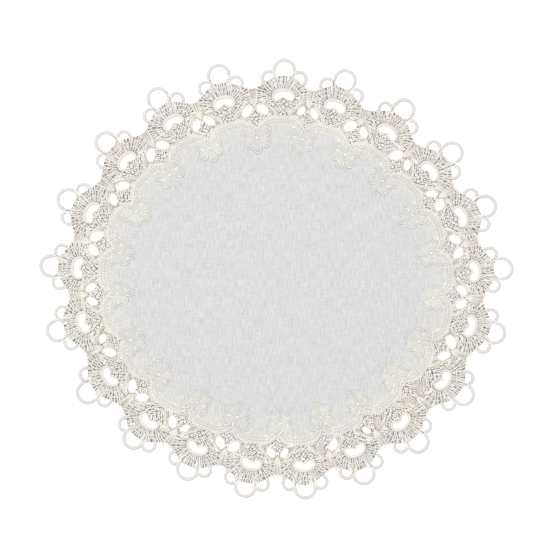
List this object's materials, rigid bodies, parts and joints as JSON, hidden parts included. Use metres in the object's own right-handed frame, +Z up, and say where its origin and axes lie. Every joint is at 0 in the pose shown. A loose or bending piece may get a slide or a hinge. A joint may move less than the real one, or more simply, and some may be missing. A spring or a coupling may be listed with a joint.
{
  "type": "lace placemat",
  "caption": "Oval placemat of woven cloth with stitched flowers and a wide openwork lace edging of looped fans, lying flat.",
  "frame": {"origin": "middle of the mat's outline box, on the surface that it lies on", "axes": "+X along the mat's wider way, +Y along its narrower way, +Z up out of its face"},
  "size_m": [0.3794, 0.353, 0.0023],
  "materials": {
    "linen_cloth": "matte linen-look weave",
    "cream_lace_thread": "soft sheen embroidery thread"
  },
  "bodies": {
    "root": {"cloth_panel": "linen_cloth", "lace_edging": "cream_lace_thread"}
  },
  "joints": []
}
